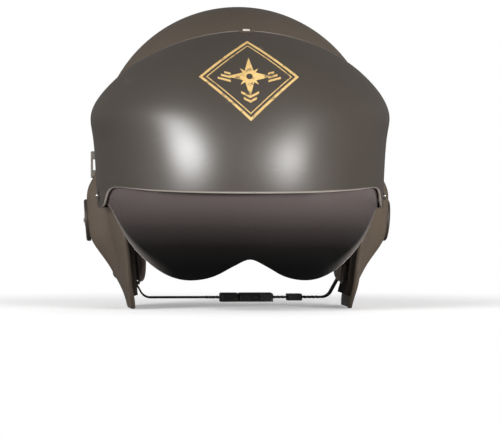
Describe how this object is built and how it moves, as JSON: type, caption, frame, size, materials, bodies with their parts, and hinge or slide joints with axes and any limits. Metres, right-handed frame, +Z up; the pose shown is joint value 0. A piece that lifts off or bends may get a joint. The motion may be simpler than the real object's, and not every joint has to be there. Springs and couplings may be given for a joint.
{
  "type": "pilot flight helmet",
  "caption": "Hard helmet with ear flaps, a front visor housing and a dark visor that swings up under it, foam lining, ear pads and a buckled chin strap.",
  "frame": {"origin": "under the middle of the dome, at the height of the flat flap bottoms that the helmet stands on", "axes": "+Z up through the crown, front towards -Y, +X to the viewer's right when seen from the front"},
  "size_m": [0.2504, 0.3011, 0.243],
  "materials": {
    "shell_plastic": "satin olive-brown moulded plastic",
    "housing_plastic": "smooth olive-brown moulded plastic with a soft shine",
    "smoke_lens": "dark smoke polycarbonate, glossy",
    "liner_foam": "expanded foam, dark grey",
    "pad_cloth": "brown-black brushed pad cloth",
    "lining_foam": "dark closed-cell foam sheet",
    "strap_webbing": "black woven webbing",
    "buckle_plastic": "black acetal",
    "disc_plastic": "dark brown-black plastic",
    "screw_steel": "bright zinc plated steel",
    "bracket_grey": "light grey painted metal",
    "clip_plastic": "olive-brown plastic with a small pale stop",
    "spacer_nylon": "natural nylon"
  },
  "bodies": {
    "helmet": {"outer_shell": "shell_plastic", "visor_housing": "housing_plastic", "impact_liner": "liner_foam", "crown_pad": "pad_cloth", "brow_pad": "pad_cloth", "nape_pad": "pad_cloth", "temple_pad_left": "pad_cloth", "temple_pad_right": "pad_cloth", "ear_pad_left": "pad_cloth", "ear_pad_right": "pad_cloth", "flap_lining_left": "lining_foam", "flap_lining_right": "lining_foam", "ear_disc_left": "disc_plastic", "ear_disc_right": "disc_plastic", "pivot_screw_left": "screw_steel", "pivot_screw_right": "screw_steel", "pivot_nut_left": "screw_steel", "pivot_nut_right": "screw_steel", "bracket_screws": "screw_steel", "ear_disc_rivet_left": "screw_steel", "ear_disc_rivet_right": "screw_steel", "strap_rivet_left": "screw_steel", "strap_rivet_right": "screw_steel", "strap_rivet_burr_left": "screw_steel", "strap_rivet_burr_right": "screw_steel", "side_bracket_left": "bracket_grey", "side_bracket_right": "bracket_grey", "crown_clip": "clip_plastic", "pivot_spacer_left": "spacer_nylon", "pivot_spacer_right": "spacer_nylon", "pivot_washer_left": "spacer_nylon", "pivot_washer_right": "spacer_nylon"},
    "visor": {"visor_lens": "smoke_lens"},
    "chin_strap": {"strap_right": "strap_webbing", "strap_left": "strap_webbing", "buckle_socket": "buckle_plastic", "strap_slider": "buckle_plastic"},
    "buckle_plug": {"buckle_plug": "buckle_plastic"}
  },
  "joints": [
    {"name": "visor_swing", "type": "hinge", "parent": "helmet", "child": "visor", "pos_m": [0, -0.05, 0.089], "axis": [-1, 0, 0], "range_deg": [0, 50]},
    {"name": "chin_strap_swing", "type": "hinge", "parent": "helmet", "child": "chin_strap", "pos_m": [0, 0.02174, 0.03073], "axis": [1, 0, 0], "range_deg": [-12, 12]},
    {"name": "buckle_release", "type": "slide", "parent": "chin_strap", "child": "buckle_plug", "axis": [-1, 0, 0], "range_m": [0, 0.022], "deforming": ["strap_left"]}
  ]
}
